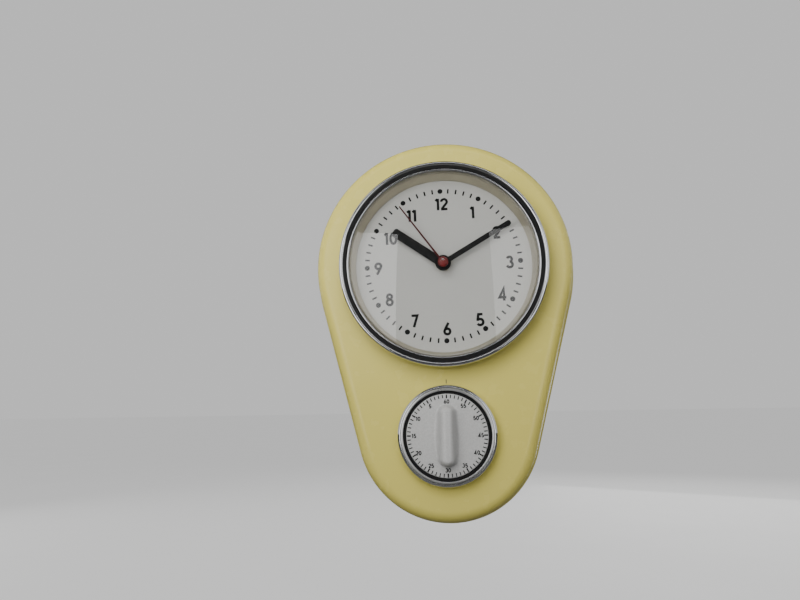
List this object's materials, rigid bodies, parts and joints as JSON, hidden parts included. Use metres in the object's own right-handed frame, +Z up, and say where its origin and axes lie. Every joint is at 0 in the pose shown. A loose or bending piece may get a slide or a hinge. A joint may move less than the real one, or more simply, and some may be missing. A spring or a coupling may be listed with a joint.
{
  "type": "wall clock with kitchen timer",
  "caption": "Pear-shaped lacquered wall clock with a chromed round clock face above a rotary sixty-minute mechanical timer, with its movements, cell and hanging plate inside.",
  "frame": {"origin": "on the clock hands' axis, in the plane of the wall behind the case", "axes": "+Z up, the dials face -Y, +Y points into the wall, +X to the right as seen from the front"},
  "size_m": [0.18, 0.0474, 0.2595],
  "materials": {
    "lacquer": "cream gloss lacquer",
    "chrome": "polished chrome plating",
    "ring_metal": "bright polished ring",
    "black_rubber": "satin black",
    "lens": "clear domed lens",
    "dial_paper": "matt off-white print",
    "hand_black": "matt black",
    "hand_red": "satin red",
    "cover_plastic": "moulded black",
    "movement_plastic": "moulded dark grey",
    "wheel_plastic": "natural acetal",
    "brass": "turned brass",
    "steel": "zinc plated steel",
    "spring_steel": "blued spring steel",
    "copper": "enamelled copper winding",
    "board": "green laminate",
    "cell_wrap": "printed sleeve",
    "silver_plastic": "silver grey satin",
    "print_black": "printed mark"
  },
  "bodies": {
    "case": {"front_housing": "lacquer", "back_cover": "cover_plastic", "cover_screws": "steel", "hanger_plate": "steel", "wall_pads": "black_rubber", "index_mark": "print_black", "clock_bezel": "chrome", "bezel_gasket": "black_rubber", "dial_ring": "ring_metal", "clock_lens": "lens", "dial_plate": "dial_paper", "movement_case": "movement_plastic", "movement_cover": "movement_plastic", "threaded_bushing": "brass", "mounting_nut": "brass", "rubber_washer": "black_rubber", "circuit_board": "board", "quartz_crystal": "steel", "drive_coil": "copper", "stator": "steel", "battery_cell": "cell_wrap", "contact_positive": "steel", "contact_negative": "steel", "timer_bezel": "chrome", "timer_seal": "black_rubber", "front_plate": "steel", "back_plate": "steel", "pillars": "brass", "spacers": "brass", "mechanism_screws": "steel", "mainspring": "spring_steel", "bell": "chrome", "bell_post": "steel"},
    "second_train": {"seconds_wheel": "wheel_plastic", "second_hand": "hand_red", "second_cap": "hand_red"},
    "rotor_arbor": {"rotor": "wheel_plastic"},
    "intermediate_arbor": {"intermediate_wheel": "wheel_plastic"},
    "third_arbor": {"third_wheel": "wheel_plastic"},
    "centre_arbor": {"centre_wheel": "wheel_plastic"},
    "minute_train": {"cannon_pinion": "wheel_plastic", "minute_hand": "hand_black", "minute_hub": "hand_black"},
    "hour_train": {"hour_wheel": "wheel_plastic", "hour_hand": "hand_black"},
    "motion_arbor": {"minute_wheel": "wheel_plastic"},
    "setting_arbor": {"setting_knob": "wheel_plastic"},
    "timer_knob": {"timer_dial": "silver_plastic", "timer_arbor": "steel", "great_wheel": "brass"},
    "timer_second_arbor": {"second_wheel": "brass"},
    "timer_third_arbor": {"timer_third_wheel": "brass"},
    "escape_arbor": {"escape_wheel": "brass"},
    "balance_arbor": {"balance": "brass"},
    "hammer_arbor": {"hammer": "steel"}
  },
  "joints": [
    {"name": "second_turn", "type": "hinge", "parent": "case", "child": "second_train", "pos_m": [0, -0.025, 0], "axis": [0, 1, 0], "continuous": true},
    {"name": "rotor_turn", "type": "hinge", "parent": "case", "child": "rotor_arbor", "pos_m": [0.01421, -0.025, 0.00517], "axis": [0, 1, 0], "continuous": true},
    {"name": "intermediate_turn", "type": "hinge", "parent": "case", "child": "intermediate_arbor", "pos_m": [0.0071, -0.025, 0.00259], "axis": [0, 1, 0], "continuous": true},
    {"name": "third_turn", "type": "hinge", "parent": "case", "child": "third_arbor", "pos_m": [-0.00713, -0.025, 0.00713], "axis": [0, 1, 0], "continuous": true},
    {"name": "centre_turn", "type": "hinge", "parent": "case", "child": "centre_arbor", "pos_m": [0, -0.025, 0], "axis": [0, 1, 0], "continuous": true},
    {"name": "minute_turn", "type": "hinge", "parent": "case", "child": "minute_train", "pos_m": [0, -0.025, 0], "axis": [0, 1, 0], "continuous": true},
    {"name": "hour_turn", "type": "hinge", "parent": "case", "child": "hour_train", "pos_m": [0, -0.025, 0], "axis": [0, 1, 0], "continuous": true},
    {"name": "motion_turn", "type": "hinge", "parent": "case", "child": "motion_arbor", "pos_m": [0, -0.025, 0.011], "axis": [0, 1, 0], "continuous": true},
    {"name": "setting_turn", "type": "hinge", "parent": "case", "child": "setting_arbor", "pos_m": [0.011, -0.025, 0.011], "axis": [0, 1, 0], "continuous": true},
    {"name": "timer_turn", "type": "hinge", "parent": "case", "child": "timer_knob", "pos_m": [0, -0.025, -0.11], "axis": [0, 1, 0], "range_deg": [0, 354]},
    {"name": "timer_second_turn", "type": "hinge", "parent": "case", "child": "timer_second_arbor", "pos_m": [-0.01455, -0.025, -0.1016], "axis": [0, 1, 0], "range_deg": [-2124, 0]},
    {"name": "timer_third_turn", "type": "hinge", "parent": "case", "child": "timer_third_arbor", "pos_m": [-0.01144, -0.025, -0.11319], "axis": [0, 1, 0], "range_deg": [0, 10620]},
    {"name": "escape_turn", "type": "hinge", "parent": "case", "child": "escape_arbor", "pos_m": [-0.00744, -0.025, -0.12012], "axis": [0, 1, 0], "range_deg": [-31860, 0]},
    {"name": "balance_swing", "type": "hinge", "parent": "case", "child": "balance_arbor", "pos_m": [0.0032, -0.025, -0.1234], "axis": [0, 1, 0], "range_deg": [-25, 25]},
    {"name": "hammer_swing", "type": "hinge", "parent": "case", "child": "hammer_arbor", "pos_m": [0.0205, -0.025, -0.101], "axis": [0, 1, 0], "range_deg": [0, 12]}
  ],
  "couplings": [
    {"joint": "intermediate_turn", "follows": "second_turn", "ratio": -5},
    {"joint": "rotor_turn", "follows": "second_turn", "ratio": 30},
    {"joint": "third_turn", "follows": "second_turn", "ratio": -0.13333},
    {"joint": "centre_turn", "follows": "second_turn", "ratio": 0.016667},
    {"joint": "hour_turn", "follows": "minute_turn", "ratio": 0.083333},
    {"joint": "motion_turn", "follows": "minute_turn", "ratio": -0.33333},
    {"joint": "setting_turn", "follows": "minute_turn", "ratio": 1},
    {"joint": "timer_second_turn", "follows": "timer_turn", "ratio": -6},
    {"joint": "timer_third_turn", "follows": "timer_turn", "ratio": 30},
    {"joint": "escape_turn", "follows": "timer_turn", "ratio": -90}
  ]
}
